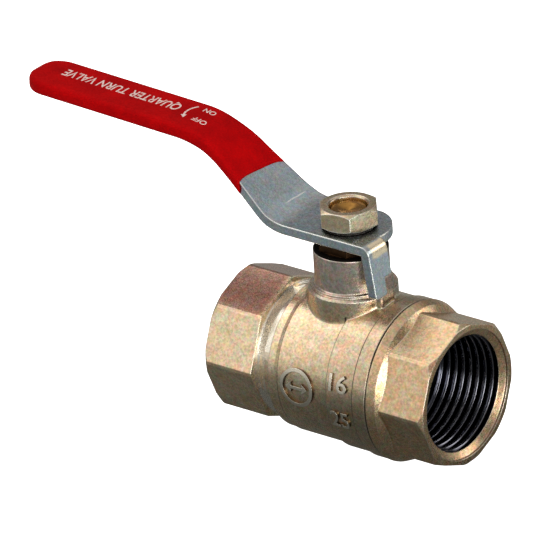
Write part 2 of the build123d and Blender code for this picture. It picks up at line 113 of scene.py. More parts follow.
# ---- Letters, in units of the font's size ----
LETTER_BOLD = 0.012
LETTER_CURVE_STEPS = 4
LETTER_WELD = 1e-5
LETTER_LONG_EDGE = 0.25
LETTER_LEVEL = 0.1
LETTER_CUTS = 3

# ---- Cast marks on the barrel ----
MARK_RELIEF = 0.55 * MM
MARK_SINK = 0.25 * MM
BARREL_OUTSIDE_R = 30 * MM
RING_MARK_PLACE = (-4.2 * MM, 88.0)
RING_MARK_R = 4.75 * MM
RING_MARK_WIDTH = 1.0 * MM
RING_MARK_STEPS = 48
FLOW_BAR_HALF = 1.9 * MM
FLOW_BAR_WIDTH = 0.85 * MM
FLOW_HEAD_X = (1.7 * MM, 3.5 * MM)
FLOW_HEAD_HALF = 1.4 * MM
BARREL_NUMBERS = [
    ("number_upper", "16", 9.4 * MM, 75.5, 5.6 * MM, 4.8 * MM),
    ("number_lower", "25", 9.6 * MM, 103.0, 5.8 * MM, 4.8 * MM),
]

# ---- Noise scales, in waves per metre ----
FLECK_SCALE = 1500.0
CLOUD_SCALE = 420.0
SPECK_SCALE = 1000.0
GRAIN_SCALE = 4200.0
BLOTCH_SCALE = 380.0
MARK_RUB_SCALE = 900.0
CRYSTAL_SCALE = 1300.0
ZINC_CLOUD_SCALE = 110.0
ZINC_GRAIN_SCALE = 5200.0
CREASE_FRAY_SCALE = 400.0
WEAR_FRAY_SCALE = 500.0
TOOL_RING_SCALE = 900.0
STAIN_SCALE = 350.0
PLASTIC_DRIFT_SCALE = 130.0
PEBBLE_SCALE = 1800.0
PLASTIC_WAVE_SCALE = 260.0
INK_WEAR_SCALE = 1600.0
FIBRE_SCALE = 300.0

# ---- Plating: cloud and speck tints, and where the painted edge highlight starts ----
WARM_CLOUD = (1.17, 0.93, 0.78)
COOL_CLOUD = (0.85, 1.01, 1.11)
PINK_SPECK = (1.13, 0.90, 1.08)
GREEN_SPECK = (0.90, 1.06, 0.89)
EDGE_FACING = (0.93, 0.995)

# ---- The forgings: two tones each, and how their brightness drifts along X ----
BODY_NICKEL = ((0.60, 0.49, 0.33), (0.74, 0.63, 0.45))
BODY_DRIFT = (1.22, 0.84)
CAP_NICKEL = ((0.60, 0.44, 0.27), (0.72, 0.57, 0.37))
CAP_DRIFT = (1.0, 1.0)
DRIFT_X = (-14.0 * MM, 17.0 * MM)
FORGING_SPECKLE = 0.26
FORGING_EDGE = 0.35 * MM
FORGING_RELIEF = 0.05 * MM
BLOTCH_RELIEF = 1.2
FORGING_ROUGHNESS = (0.22, 0.34)
# Painted highlight on sharp edges of the nickel, partly rubbed plating as well
EDGE_WEAR_AND_SHEEN_NICKEL = (0.95, 0.91, 0.84)
EDGE_WEAR_AND_SHEEN_NICKEL_SHARE = 0.6
NECK_TINT = (0.84, 0.92, 1.22)
NECK_TINT_SHARE = 0.9
NECK_GREYS_Z = (21.0 * MM, 25.0 * MM)
# Painted shade and painted red reflection of the grip on the inlet octagon's upper face
GRIP_SHADE_TINT = (0.62, 0.51, 0.58)
GRIP_SHADE_X = (-21.5 * MM, -20.2 * MM)
GRIP_SHADE_Z = (13.4 * MM, 14.8 * MM)
# Painted highlight: the waist behind the inlet octagon is turned near white for the glare band there
WAIST_GLARE_WHITE = (0.95, 0.94, 0.88)
WAIST_GLARE_SHARE = 0.8
WAIST_X = (-19.55 * MM, -12.5 * MM)
WAIST_R = 18.9 * MM
# Painted shade: the neck's top under the lever is turned near black
GLAND_RECESS_Z = 33.6 * MM
RECESS_SHADE = (0.012, 0.010, 0.009)
RECESS_ROUGHNESS = (0.8, 0.8, 0.8)

# ---- The threaded bores ----
BORE_TONE_R = 17.0 * MM
BORE_TONE_END_X = 33.4 * MM
INLET_BORE_X = -19.7 * MM
OUTLET_BORE_X = 13.0 * MM
# Painted shade for the bores and painted glints for the thread crests
BORE_SHADE = (0.035, 0.035, 0.045)
BORE_CREST_GLINT = (0.24, 0.25, 0.30)
BORE_ROUGHNESS = (0.09, 0.09, 0.09)
CREST_R = (15.38 * MM, 15.65 * MM)

# ---- Painted shade in the barrel's seams and steps: x, strength, half width ----
SEAMS = [
    (-10.7 * MM, 0.6, 0.18 * MM),
    (5.2 * MM, 0.95, 0.34 * MM),
    (13.95 * MM, 1.0, 0.36 * MM),
    (18.3 * MM, 1.0, 0.36 * MM),
]
SEAM_R = (19.9 * MM, 21.6 * MM)
SEAM_SHADE = (0.06, 0.05, 0.04)

# ---- The cast marks' metal ----
# Painted shade on the marks' side faces
MARK_SIDE_SHADE = (0.10, 0.075, 0.05)
MARK_TOP = ((0.80, 0.72, 0.58), (0.95, 0.90, 0.80))
MARK_EDGE = 0.2 * MM
MARK_ROUGHNESS = 0.26

# ---- Zinc plate: two tones each, roughness, rounding of the edges ----
LEVER_ZINC = ((0.38, 0.47, 0.54), (0.56, 0.66, 0.73))
NUT_ZINC = ((0.56, 0.48, 0.33), (0.74, 0.66, 0.47))
# Painted shadow: the lock washer is near black so that it reads as the shade under the nut
WASHER_SHADOW_DARK = ((0.05, 0.05, 0.05), (0.10, 0.09, 0.08))
ZINC_ROUGHNESS = (0.22, 0.34)
WASHER_ROUGHNESS = (0.4, 0.6)
LEVER_EDGE = 0.5 * MM
NUT_EDGE = 0.35 * MM
WASHER_EDGE = 0.2 * MM
ZINC_SPECKLE = 0.20
# Painted highlight on sharp edges of the zinc, partly rubbed plating as well
EDGE_WEAR_AND_SHEEN_ZINC = (0.98, 0.99, 0.98)
EDGE_WEAR_AND_SHEEN_ZINC_SHARE = 0.85

# ---- On the lever: a painted crease highlight, a rub with a painted warm highlight, and a painted shadow round the stem ----
CREASE_X = -20.0 * MM
CREASE_Y = 3.6 * MM
CREASE_HALF_LENGTH = 4.5 * MM
CREASE_HALF_WIDTH = (0.10 * MM, 0.22 * MM)
CREASE_SHARE = 0.8
CREASE_FRAY = 0.5 * MM
# Painted highlight along the first bend's crease
CREASE_HIGHLIGHT = (0.95, 0.97, 0.97)
RUB_FROM_X = (10.9 * MM, 11.4 * MM)
RUB_ABOVE_Z = (35.7 * MM, 36.4 * MM)
RUB_FROM_Y = (-8.0 * MM, -7.2 * MM)
RUB_FRAY = 1.2 * MM
# Rubbed plating with a painted warm highlight on the tab's bend
RUB_AND_WARM_HIGHLIGHT = (0.98, 0.84, 0.62)
# Painted shadow on the lever's top under the nut
NUT_SHADOW_R = (7.3 * MM, 7.8 * MM)
NUT_SHADOW_ABOVE_Z = 39.0 * MM
NUT_SHADOW_FRAY = 0.5 * MM
NUT_SHADOW_BLACK = (0.02, 0.02, 0.02)

# ---- Bare metal, plastic and ink: two tones each ----
STEM_BRASS = ((0.49, 0.255, 0.060), (0.24, 0.11, 0.025))
# Painted shade: the gland nut's brass is near black, in the lever's shadow
GLAND_SHADE_BRASS = ((0.09, 0.045, 0.02), (0.03, 0.016, 0.01))
BALL_CHROME = ((0.80, 0.80, 0.80), (0.68, 0.69, 0.70))
SEAT_PTFE = ((0.88, 0.88, 0.85), (0.80, 0.80, 0.77))
SEAL_RUBBER = ((0.02, 0.02, 0.02), (0.035, 0.034, 0.033))
PTFE_NODES = ("seat_inlet", "seat_outlet", "stem_thrust_washer", "packing_ring_lower", "packing_ring_upper")
RUBBER_NODES = ("body_o_ring", "stem_o_ring")
RED_VINYL = ((0.54, 0.0008, 0.0020), (0.36, 0.0006, 0.0020))
PRINT_INK = (0.86, 0.70, 0.68)
PRINT_WORN = (0.66, 0.06, 0.05)

# ---- The floor: white to the camera, and what the metal mirrors of it: a glow with a painted shadow close by and painted bright patches ----
FLOOR_SIZE = 4.0
FLOOR_GAP = 0.3 * MM
FLOOR_PAPER = ((0.93, 0.93, 0.93), (0.95, 0.95, 0.95))
FLOOR_WHITE = 1.3
FLOOR_MIRRORED = (0.97, 1.0, 0.94)
FLOOR_NEAR_FAR = (40 * MM, 220 * MM)
FLOOR_GLOW = (0.09, 0.42)
FLOOR_PATCHES = [
    (Vector((66, -104, -22)) * MM, 12 * MM, 40 * MM, 0.15),
    (Vector((155, 150, -22)) * MM, 40 * MM, 110 * MM, 0.30),
    (Vector((200, -62, -22)) * MM, 45 * MM, 92 * MM, 4.0),
]

# ---- The room that the metal mirrors: walls by x, fading out upwards, then a pale ceiling ----
ROOM_COLOUR = (1.0, 0.96, 0.90)
WALL_X = (-0.1, 0.6)
WALL_GLOW = (0.15, 0.05)
WALL_FADE_Z = (0.35, 0.6)
CEILING_Z = (0.44, 0.72)
CEILING_GLOW = (0.06, 0.66)

# ---- Soft lights in that room: centre direction, inner and outer half-angle, strength ----
SOFT_LIGHTS = [
    (Vector((-0.573, 0.100, 0.813)), 8.0, 28.0, 0.85),
    (Vector((-0.573, -0.432, 0.696)), 10.0, 30.0, 0.68),
    (Vector((-0.573, -0.786, 0.180)), 12.0, 34.0, 0.72),
    (Vector((0.670, -0.740, 0.030)), 9.0, 22.0, 5.0),
    (Vector((0.660, 0.697, 0.280)), 5.0, 15.0, 3.0),
    (Vector((0.955, -0.250, 0.060)), 8.0, 17.0, 7.0),
    (Vector((0.200, -0.800, 0.500)), 12.0, 34.0, 0.50),
]


# ---------------------------------------------------------------- small helpers
def direction(azimuth, elevation):
    """Unit vector from the target towards a viewer at this azimuth (0 = from -Y) and elevation."""
    a, e = radians(azimuth), radians(elevation)
    return Vector((sin(a) * cos(e), -cos(a) * cos(e), sin(e)))


def new_object(name, mesh):
    made = bpy.data.objects.new(name, mesh)
    bpy.context.scene.collection.objects.link(made)
    return made


def mesh_object(name, points, faces, smooth=True):
    mesh = bpy.data.meshes.new(name)
    mesh.from_pydata([tuple(p) for p in points], [], faces)
    mesh.validate()
    bm = bmesh.new()
    bm.from_mesh(mesh)
    bmesh.ops.recalc_face_normals(bm, faces=bm.faces)
    bm.to_mesh(mesh)
    bm.free()
    mesh.polygons.foreach_set("use_smooth", [smooth] * len(mesh.polygons))
    return new_object(name, mesh)


def node_tree_of(name):
    material = bpy.data.materials.new(name)
    material.use_nodes = True
    material.node_tree.nodes.clear()
    return material, material.node_tree


class Graph:
    """Short names for adding and joining shader nodes."""

    def __init__(self, tree):
        self.tree = tree

    def add(self, kind, **settings):
        node = self.tree.nodes.new("ShaderNode" + kind)
        for key, value in settings.items():
            setattr(node, key, value)
        return node

    def link(self, source, target):
        self.tree.links.new(source, target)

    def put(self, node, name, value):
        """Set an input to a number or colour, or join it to an output."""
        socket = node.inputs[name]
        if isinstance(value, bpy.types.NodeSocket):
            self.link(value, socket)
        elif isinstance(value, tuple) and len(value) == 3:
            socket.default_value = (*value, 1.0) if socket.type == "RGBA" else value
        else:
            socket.default_value = value

    def math(self, operation, a, b=0.0):
        node = self.add("Math", operation=operation)
        self.put(node, 0, a)
        self.put(node, 1, b)
        return node.outputs[0]

    def times(self, a, b):
        return self.math("MULTIPLY", a, b)

    def between(self, value, low, high):
        """1 where the value is above low and also below high."""
        return self.times(self.math("GREATER_THAN", value, low), self.math("LESS_THAN", value, high))

    def away(self, value, middle):
        """How far a value is from the middle, either way."""
        return self.math("ABSOLUTE", self.math("SUBTRACT", value, middle))

    def radius(self, a, b):
        """How far a point with coordinates a and b is from their origin."""
        return self.math("SQRT", self.math("ADD", self.times(a, a), self.times(b, b)))

    def ragged(self, place, scale, size):
        """A small length, up or down, that wanders with the place: it frays a straight border."""
        return self.times(self.math("SUBTRACT", self.noise(place, scale), 0.5), size)

    def noise(self, vector, scale, detail=4.0, roughness=0.6):
        node = self.add("TexNoise")
        self.put(node, "Vector", vector)
        self.put(node, "Scale", scale)
        self.put(node, "Detail", detail)
        self.put(node, "Roughness", roughness)
        return node.outputs["Fac"]

    def remap(self, value, low, high, out_low, out_high, **settings):
        """Carry the range low to high over to out_low to out_high, and hold still beyond its ends."""
        node = self.add("MapRange", **settings)
        self.put(node, "Value", value)
        self.put(node, "From Min", low)
        self.put(node, "From Max", high)
        self.put(node, "To Min", out_low)
        self.put(node, "To Max", out_high)
        return node.outputs["Result"]

    def rise(self, value, low, high):
        """0 up to low, 1 from high on, and a straight slope between them."""
        return self.remap(value, low, high, 0.0, 1.0)

    def fall(self, value, low, high):
        """1 up to low, 0 from high on, and a straight slope between them."""
        return self.remap(value, low, high, 1.0, 0.0)

    def mix(self, share, a, b):
        node = self.add("Mix", data_type="RGBA")
        self.put(node, "Factor", share)
        self.put(node, "A", a)
        self.put(node, "B", b)
        return node.outputs["Result"]

    def tint(self, colour, by, share):
        """Multiply a colour by another colour or by a number, as much as share says."""
        node = self.add("Mix", data_type="RGBA", blend_type="MULTIPLY", clamp_result=False)
        self.put(node, "Factor", share)
        self.put(node, "A", colour)
        self.put(node, "B", by)
        return node.outputs["Result"]

    def position(self):
        """Where the point is on the object, in metres, however the object is posed."""
        return self.add("TexCoord").outputs["Object"]

    def split(self, vector):
        """The x, y and z of a vector."""
        node = self.add("SeparateXYZ")
        self.put(node, "Vector", vector)
        return tuple(node.outputs[i] for i in range(3))

    def bump(self, height, strength, distance, normal=None):
        node = self.add("Bump")
        self.put(node, "Height", height)
        self.put(node, "Strength", strength)
        self.put(node, "Distance", distance)
        if normal is not None:
            self.put(node, "Normal", normal)
        return node.outputs["Normal"]

    def round_edges(self, radius):
        node = self.add("Bevel", samples=6)
        self.put(node, "Radius", radius)
        return node.outputs["Normal"]

    def vector_math(self, operation, a, b=None):
        node = self.add("VectorMath", operation=operation)
        self.put(node, 0, a)
        if b is not None:
            self.put(node, 1, b)
        return node

    def dot(self, a, b):
        return self.vector_math("DOT_PRODUCT", a, b).outputs["Value"]

    def edge_share(self, rounded):
        """1 on a sharp edge, falling to 0 on flat metal, from the rounded normal beside the true one; it
        places the painted edge highlights.
        """
        facing = self.dot(rounded, self.add("NewGeometry").outputs["Normal"])
        return self.fall(facing, *EDGE_FACING)

    def surface(self, colour, metallic, roughness, normal, **extra):
        shader = self.add("BsdfPrincipled")
        self.put(shader, "Base Color", colour)
        self.put(shader, "Metallic", metallic)
        self.put(shader, "Roughness", roughness)
        self.put(shader, "Normal", normal)
        for name, value in extra.items():
            self.put(shader, name.replace("_", " "), value)
        output = self.add("OutputMaterial")
        self.link(shader.outputs[0], output.inputs["Surface"])

    def to_camera(self, seen, mirrored, output):
        """Show one shader to the camera and another to every other ray."""
        choose = self.add("MixShader")
        self.put(choose, "Fac", self.add("LightPath").outputs["Is Camera Ray"])
        self.link(mirrored.outputs[0], choose.inputs[1])
        self.link(seen.outputs[0], choose.inputs[2])
        self.link(choose.outputs[0], self.add(output).inputs["Surface"])


# ---------------------------------------------------------------- materials
def plating_colour(g, place, tone, low, high, speckle):
    """A colour that drifts between two tones, with warm and cool clouds and pink and green specks."""
    drift = g.mix(g.rise(tone, 0.34, 0.66), low, high)
    fleck = g.noise(place, FLECK_SCALE, detail=3.0)
    warmth = g.noise(place, CLOUD_SCALE, detail=6.0, roughness=0.72)
    hue = g.noise(place, SPECK_SCALE, detail=3.0)
    share = min(speckle * 3.0, 1.0)
    cloud = g.mix(g.rise(warmth, 0.38, 0.62), WARM_CLOUD, COOL_CLOUD)
    speck = g.mix(g.rise(hue, 0.40, 0.60), PINK_SPECK, GREEN_SPECK)
    value = g.remap(fleck, 0.3, 0.7, 1.0 - speckle, 1.0 + speckle)
    return g.tint(g.tint(g.tint(drift, cloud, share), speck, share), value, 1.0)


def plated_forging(name, tones, drift):
    """Satin nickel on a blasted brass forging; the threaded bores are cut smooth, with painted shade and
    painted glints on the thread crests.
    """
    material, tree = node_tree_of(name)
    g = Graph(tree)
    place = g.position()
    x, y, z = g.split(place)
    from_axis = g.radius(y, z)
    grain = g.noise(place, GRAIN_SCALE, detail=3.0)
    blotches = g.noise(place, BLOTCH_SCALE)
    rounded = g.round_edges(FORGING_EDGE)
    colour = plating_colour(g, place, blotches, *tones, FORGING_SPECKLE)
    colour = g.tint(colour, NECK_TINT, g.remap(z, *NECK_GREYS_Z, 0.0, NECK_TINT_SHARE))
    colour = g.tint(colour, g.remap(x, *DRIFT_X, *drift), 1.0)
    # painted shade: the inlet octagon's upper face, under the red grip, is darkened and tinted
    under_grip = g.times(g.fall(x, *GRIP_SHADE_X), g.rise(z, *GRIP_SHADE_Z))
    colour = g.tint(colour, GRIP_SHADE_TINT, under_grip)
    # painted highlight: near-white metal in the waist behind the inlet octagon
    in_waist = g.times(g.between(x, *WAIST_X), g.math("LESS_THAN", from_axis, WAIST_R))
    colour = g.mix(g.times(in_waist, WAIST_GLARE_SHARE), colour, WAIST_GLARE_WHITE)
    # painted edge highlight, partly rubbed plating
    colour = g.mix(g.times(g.edge_share(rounded), EDGE_WEAR_AND_SHEEN_NICKEL_SHARE), colour, EDGE_WEAR_AND_SHEEN_NICKEL)
    colour = add_seam_shade(g, colour, x, from_axis)
    # painted shade under the lever on the neck's top
    recess = g.math("GREATER_THAN", z, GLAND_RECESS_Z)
    colour = g.mix(recess, colour, RECESS_SHADE)
    in_bore = bore_share(g, x, from_axis)
    colour = g.mix(in_bore, colour, bore_shade_and_glints(g, from_axis))
    roughness = g.mix(in_bore, g.remap(grain, 0.25, 0.75, *FORGING_ROUGHNESS), BORE_ROUGHNESS)
    roughness = g.mix(recess, roughness, RECESS_ROUGHNESS)
    cast_skin = g.math("SUBTRACT", 1.0, in_bore)
    relief = g.times(cast_skin, g.math("ADD", grain, g.times(blotches, BLOTCH_RELIEF)))
    g.surface(colour, 1.0, roughness, g.bump(relief, 0.5, FORGING_RELIEF, rounded))
    return material


def add_seam_shade(g, colour, x, from_axis):
    """Darken the turned steps and the seam of the barrel with painted shade in their grooves."""
    on_barrel = g.between(from_axis, *SEAM_R)
    for seam_x, strength, half_width in SEAMS:
        shade_share = g.remap(g.away(x, seam_x), half_width * 0.4, half_width, strength, 0.0)
        colour = g.mix(g.times(shade_share, on_barrel), colour, SEAM_SHADE)
    return colour


def bore_share(g, x, from_axis):
    """1 inside the two threaded sockets, 0 elsewhere."""
    inlet = g.between(x, -BORE_TONE_END_X, INLET_BORE_X)
    outlet = g.between(x, OUTLET_BORE_X, BORE_TONE_END_X)
    return g.times(g.math("LESS_THAN", from_axis, BORE_TONE_R), g.math("ADD", inlet, outlet))


def bore_shade_and_glints(g, from_axis):
    """Painted shade in the bores: near-black cut metal, with painted glints on the thread crests."""
    return g.mix(g.fall(from_axis, *CREST_R), BORE_SHADE, BORE_CREST_GLINT)


def raised_mark():
    """The cast marks: tops rubbed bright, sides painted dark as shade, so that they read against the barrel.
    """
    material, tree = node_tree_of("raised_mark")
    g = Graph(tree)
    place = g.position()
    _, y, z = g.split(place)
    outward = g.add("CombineXYZ")
    g.put(outward, "Y", y)
    g.put(outward, "Z", z)
    unit = g.vector_math("NORMALIZE", outward.outputs[0])
    facing = g.dot(unit.outputs[0], g.add("TexCoord").outputs["Normal"])
    grain = g.noise(place, GRAIN_SCALE, detail=3.0)
    top = g.mix(g.noise(place, MARK_RUB_SCALE), *MARK_TOP)
    colour = g.mix(g.rise(facing, 0.5, 0.85), MARK_SIDE_SHADE, top)
    g.surface(colour, 1.0, MARK_ROUGHNESS, g.bump(grain, 0.4, FORGING_RELIEF, g.round_edges(MARK_EDGE)))
    return material


def plated_steel(name, tones, roughness, edge, is_lever=False):
    """Zinc plate on steel: two tones in small crystals with fine grain; the lever has marks of its own."""
    material, tree = node_tree_of(name)
    g = Graph(tree)
    place = g.position()
    crystals = g.noise(place, CRYSTAL_SCALE, detail=5.0, roughness=0.7)
    cloud = g.noise(place, ZINC_CLOUD_SCALE, detail=3.0)
    grain = g.noise(place, ZINC_GRAIN_SCALE, detail=2.0)
    tone = g.math("ADD", g.times(crystals, 0.5), g.times(cloud, 0.5))
    rounded = g.round_edges(edge)
    colour = plating_colour(g, place, tone, *tones, ZINC_SPECKLE)
    # painted edge highlight, partly rubbed plating
    colour = g.mix(g.times(g.edge_share(rounded), EDGE_WEAR_AND_SHEEN_ZINC_SHARE), colour, EDGE_WEAR_AND_SHEEN_ZINC)
    if is_lever:
        colour = g.mix(crease_highlight(g, place), colour, CREASE_HIGHLIGHT)
        colour = g.mix(nut_shadow(g, place), colour, NUT_SHADOW_BLACK)
        colour = g.mix(bend_rub_and_highlight(g, place), colour, RUB_AND_WARM_HIGHLIGHT)
    normal = g.bump(g.math("ADD", grain, crystals), 0.35, 0.03 * MM, rounded)
    g.surface(colour, 1.0, g.remap(crystals, 0.3, 0.7, *roughness), normal)
    return material


def crease_highlight(g, place):
    """A short painted highlight across the lever's top, along the crease of its first bend."""
    x, y, _ = g.split(place)
    wobble = g.ragged(place, CREASE_FRAY_SCALE, CREASE_FRAY)
    off_line = g.math("ABSOLUTE", g.math("ADD", g.math("SUBTRACT", x, CREASE_X), wobble))
    on_line = g.fall(off_line, *CREASE_HALF_WIDTH)
    on_length = g.fall(g.away(y, CREASE_Y), CREASE_HALF_LENGTH * 0.7, CREASE_HALF_LENGTH)
    return g.times(g.times(on_line, on_length), CREASE_SHARE)


def bend_rub_and_highlight(g, place):
    """1 on the outside of the front tab's bend, rubbed bright by the press, with a painted warm highlight.
    """
    x, y, z = g.split(place)
    fray = g.ragged(place, WEAR_FRAY_SCALE, RUB_FRAY)
    past_bend = g.rise(g.math("ADD", x, fray), *RUB_FROM_X)
    above = g.rise(g.math("ADD", z, fray), *RUB_ABOVE_Z)
    inside = g.rise(g.math("SUBTRACT", y, fray), *RUB_FROM_Y)
    return g.times(g.times(past_bend, above), inside)


def nut_shadow(g, place):
    """1 on the lever's top close round the stem: a painted shadow under the nut."""
    x, y, z = g.split(place)
    from_stem = g.math("ADD", g.radius(x, y), g.times(g.noise(place, WEAR_FRAY_SCALE), NUT_SHADOW_FRAY))
    return g.times(g.fall(from_stem, *NUT_SHADOW_R), g.math("GREATER_THAN", z, NUT_SHADOW_ABOVE_Z))


def turned_metal(name, tones, roughness):
    """Bare turned or polished metal with fine tool rings about the stem axis and light stains."""
    material, tree = node_tree_of(name)
    g = Graph(tree)
    place = g.position()
    rings = g.add("TexWave", wave_type="RINGS", rings_direction="Z")
    g.put(rings, "Vector", place)
    g.put(rings, "Scale", TOOL_RING_SCALE)
    g.put(rings, "Distortion", 0.4)
    stain = g.noise(place, STAIN_SCALE)
    tone = g.mix(g.rise(stain, 0.35, 0.7), *tones)
    normal = g.bump(rings.outputs["Fac"], 0.06, 0.02 * MM, g.round_edges(0.2 * MM))
    g.surface(tone, 1.0, g.remap(stain, 0.3, 0.7, roughness * 0.8, roughness * 1.3), normal)
    return material


def soft_plastic(name, tones, roughness, pebble, shine):
    """Moulded plastic, vinyl or rubber: small colour drift and a fine pebbled skin."""
    material, tree = node_tree_of(name)
    g = Graph(tree)
    place = g.position()
    drift = g.noise(place, PLASTIC_DRIFT_SCALE)
    skin = g.noise(place, PEBBLE_SCALE, detail=3.0)
    waves = g.noise(place, PLASTIC_WAVE_SCALE, detail=2.0)
    tone = g.math("ADD", g.times(drift, 0.6), g.times(skin, 0.4))
    colour = g.mix(g.rise(tone, 0.38, 0.62), *tones)
    normal = g.bump(g.math("ADD", skin, g.times(waves, 2.0)), pebble, 0.04 * MM)
    g.surface(colour, 0.0, g.remap(skin, 0.3, 0.7, roughness * 0.85, roughness * 1.15), normal,
              Specular_IOR_Level=shine)
    return material


def print_ink():
    """White pad-print ink, worn thin in small spots so that the vinyl shows through."""
    material, tree = node_tree_of("print_ink")
    g = Graph(tree)
    worn = g.remap(g.noise(g.position(), INK_WEAR_SCALE), 0.50, 0.66, 0.0, 0.7)
    g.surface(g.mix(worn, PRINT_INK, PRINT_WORN), 0.0, 0.55, g.bump(worn, 0.2, 0.02 * MM))
    return material


def paper_floor():
    """A plain pale floor: white to the camera; the metal mirrors a glow from it, dark close by as a painted
    shadow and paler far off, with painted bright patches.
    """
    material, tree = node_tree_of("paper_floor")
    g = Graph(tree)
    place = g.position()
    paper = g.add("BsdfDiffuse")
    g.put(paper, "Color", g.mix(g.noise(place, FIBRE_SCALE, detail=3.0), *FLOOR_PAPER))
    white = g.add("Emission")
    g.put(white, "Strength", FLOOR_WHITE)
    seen = g.add("AddShader")
    g.link(paper.outputs[0], seen.inputs[0])
    g.link(white.outputs[0], seen.inputs[1])
    from_origin = g.vector_math("LENGTH", place).outputs["Value"]
    glow = g.remap(from_origin, *FLOOR_NEAR_FAR, *FLOOR_GLOW)
    for centre, inner, outer, strength in FLOOR_PATCHES:
        reach = g.vector_math("DISTANCE", place, centre).outputs["Value"]
        glow = g.math("ADD", glow, g.remap(reach, inner, outer, strength, 0.0))
    mirrored = g.add("Emission")
    g.put(mirrored, "Color", FLOOR_MIRRORED)
    g.put(mirrored, "Strength", glow)
    g.to_camera(seen, mirrored, "OutputMaterial")
    return material


def paint(node_or_piece, material):
    mesh = node_or_piece.data
    mesh.materials.clear()
    mesh.materials.append(material)


# ---------------------------------------------------------------- measuring the CAD meshes
class Surface:
    """Ray casts on one mesh, so that pieces follow its true shape."""

    def __init__(self, mesh):
        points = [v.co.copy() for v in mesh.vertices]
        faces = [tuple(p.vertices) for p in mesh.polygons]
        self.tree = BVHTree.FromPolygons(points, faces)

    def hit(self, start, way):
        return self.tree.ray_cast(Vector(start), Vector(way).normalized())[0]

    def top_z(self, x, y=0.0):
        place = self.hit((x, y, FAR_OUTSIDE), (0, 0, -1))
        return place.z if place else None

    def bottom_z(self, x):
        place = self.hit((x, 0.0, -FAR_OUTSIDE), (0, 0, 1))
        return place.z if place else None

    def width_at(self, x, z):
        """The middle y and the half width of the mesh at this x and z."""
        near_y = self.hit((x, -FAR_OUTSIDE, z), (0, 1, 0)).y
        far_y = self.hit((x, FAR_OUTSIDE, z), (0, -1, 0)).y
        return (near_y + far_y) / 2, (far_y - near_y) / 2


# ---------------------------------------------------------------- the vinyl grip
def rounded_section(centre, across, up, half_width, half_height, corner):
    """Points round a rectangle with rounded corners, in the plane of across and up."""
    corner = min(corner, half_width * CORNER_LIMIT, half_height * CORNER_LIMIT)
    flat = half_width - corner
    points = []
    for quadrant, (sx, sz) in enumerate(((1, 1), (-1, 1), (-1, -1), (1, -1))):
        for i in range(GRIP_CORNER_POINTS):
            angle = (quadrant + i / (GRIP_CORNER_POINTS - 1)) * pi / 2
            a = sx * flat + corner * cos(angle)
            b = sz * (half_height - corner) + corner * sin(angle)
            points.append(centre + across * a + up * b)
        if quadrant in (0, 2):
            for i in range(1, GRIP_FLAT_POINTS + 1):
                a = sx * flat * (1 - 2 * i / (GRIP_FLAT_POINTS + 1))
                points.append(centre + across * a + up * (sz * half_height))
    return points


def make_grip():
    """The dipped sleeve: outside rounded like poured vinyl, inside a tunnel that fits the strip."""
    sleeve, strip = (Surface(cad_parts[node].data) for node in ("lever_grip", "lever"))
    low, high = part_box("lever_grip")
    stations = grip_stations(sleeve, low.x, high.x - MOUTH_LIP_ROUND)
    frames = [section_frame(sleeve, strip, x, low.x, high.x) for x in stations]
    outer, inner = [], []
    for i, (centre, half_height, half_width, strip_half_width, strip_half_height) in enumerate(frames):
        before = frames[max(i - 1, 0)][0]
        after = frames[min(i + 1, len(frames) - 1)][0]
        along = Vector((after.x - before.x, 0, after.z - before.z)).normalized()
        share = mouth_share(centre.x, high.x)
        outer.append(sleeve_ring(centre, along, share, half_width, half_width, half_height, GRIP_EDGE_ROUND))
        if i == len(frames) - 1:
            centre = centre + along * MOUTH_LIP_ROUND
            outer.append(sleeve_ring(centre, along, share, half_width, half_width - MOUTH_LIP_ROUND / 2,
                                     half_height - MOUTH_LIP_ROUND / 2, GRIP_EDGE_ROUND))
        if strip_half_width:
            inner.append(sleeve_ring(centre, along, share, half_width, strip_half_width + GRIP_FIT,
                                     strip_half_height + GRIP_FIT, TUNNEL_CORNER))
    return tube_mesh("lever_grip_sleeve", outer, inner)


def grip_stations(sleeve, tip_x, last_x):
    """Where along X the sleeve's sections stand: crowded round the tip, then evenly to the last one."""
    _, nose = middle_and_half(sleeve, tip_x + GRIP_TIP_PROBE)
    stations = []
    for i in range(GRIP_TIP_STATIONS):
        turn = pi / 2 * (i + GRIP_TIP_FIRST) / GRIP_TIP_STATIONS
        stations.append(tip_x + nose * (1 - cos(turn)))
    first = stations[-1]
    for i in range(1, GRIP_STATIONS + 1):
        stations.append(first + (last_x - first) * i / GRIP_STATIONS)
    return stations


def sleeve_ring(middle, along, share, sleeve_half_width, half_width, half_height, corner):
    """One section of the sleeve square to its run, slid towards the mouth's shape as much as share says."""
    up = Vector((-along.z, 0, along.x))
    points = rounded_section(middle, Vector((0, 1, 0)), up, half_width, half_height, corner)
    return [p + along * mouth_shift(p - middle, along, up, sleeve_half_width) * share for p in points]


def mouth_shift(offset, along, up, half_width):
    """How far a mouth point slides down the strip: the mouth is cut upright, a little askew and bowed."""
    side = max(-1.0, min(1.0, offset.y / half_width))
    upright = offset.dot(up) * along.z / along.x
    return upright + MOUTH_SKEW * side - MOUTH_BOW * (1 - abs(side) ** 5)


def mouth_share(x, mouth_x):
    """0 well inside the sleeve, rising to 1 at its mouth."""
    return min(max((x - mouth_x + MOUTH_REACH) / MOUTH_REACH, 0.0), 1.0)


def middle_and_half(surface, x):
    """The middle y and half width half way between the top and the underside."""
    return surface.width_at(x, (surface.top_z(x) + surface.bottom_z(x)) / 2)


